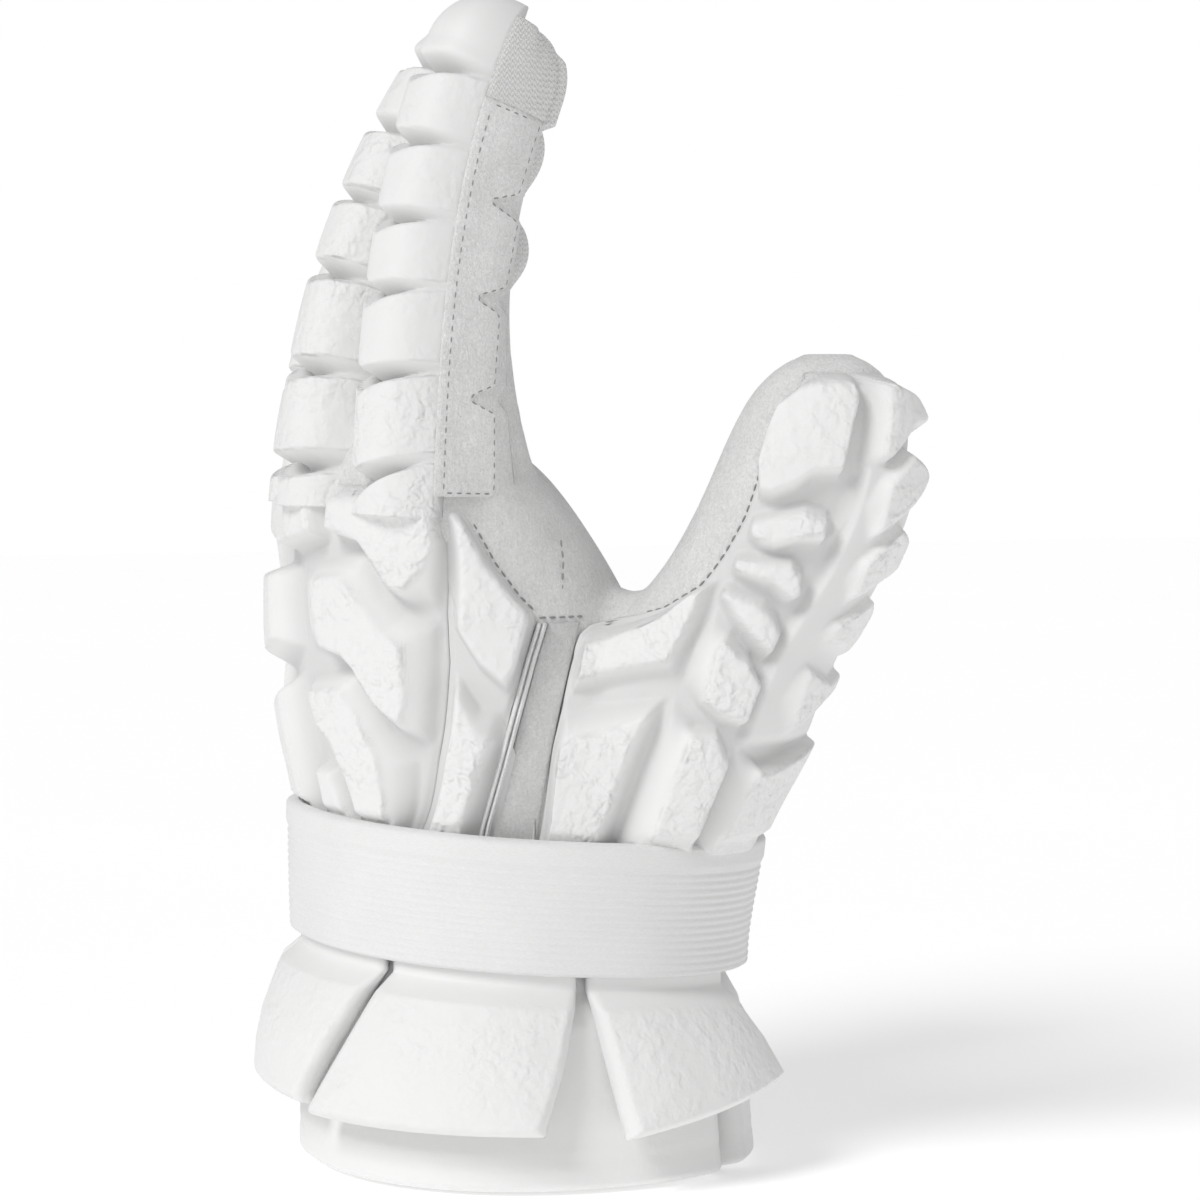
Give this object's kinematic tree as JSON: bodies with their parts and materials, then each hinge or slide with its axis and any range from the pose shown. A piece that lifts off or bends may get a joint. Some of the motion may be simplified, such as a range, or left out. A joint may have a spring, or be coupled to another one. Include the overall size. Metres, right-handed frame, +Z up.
{
  "type": "lacrosse glove",
  "caption": "Left-hand lacrosse glove with moulded foam finger, thumb and hand pads, a ribbed wrist strap and a flared padded cuff.",
  "frame": {"origin": "on the floor under the middle of the glove's outer box, with the glove standing on its cuff's rim", "axes": "+Z up the glove from the cuff's rim to the fingertips, +Y from the back of the hand to the palm, +X towards the thumb"},
  "size_m": [0.1814, 0.15, 0.3139],
  "materials": {
    "moulded_foam": "white grained synthetic leather over moulded foam",
    "cuff_leather": "smooth white synthetic leather with a fine grain",
    "strap_webbing": "white ribbed elastic",
    "tip_knit": "light grey knit",
    "suede": "light grey matt suede"
  },
  "bodies": {
    "root": {"hand_shell": "suede", "palm_shell": "suede", "wrist_shell": "suede", "thumb_stall": "suede", "index_stall": "suede", "middle_stall": "suede", "ring_stall": "suede", "little_stall": "suede", "back_panel": "moulded_foam", "radial_panel": "moulded_foam", "ulnar_panel": "moulded_foam", "thumb_panel": "moulded_foam", "gusset": "suede", "gusset_piping": "suede", "index_pad": "moulded_foam", "middle_pad": "moulded_foam", "ring_pad": "moulded_foam", "little_pad": "moulded_foam", "index_tip_patch": "tip_knit", "middle_tip_patch": "tip_knit", "ring_tip_patch": "tip_knit", "little_tip_patch": "tip_knit", "index_side_patch": "suede", "wrist_strap": "strap_webbing", "cuff_sleeve": "cuff_leather", "cuff_flap_thumb": "cuff_leather", "cuff_flap_palm": "cuff_leather", "cuff_flap_back": "cuff_leather", "cuff_flap_outer": "cuff_leather"}
  },
  "joints": []
}
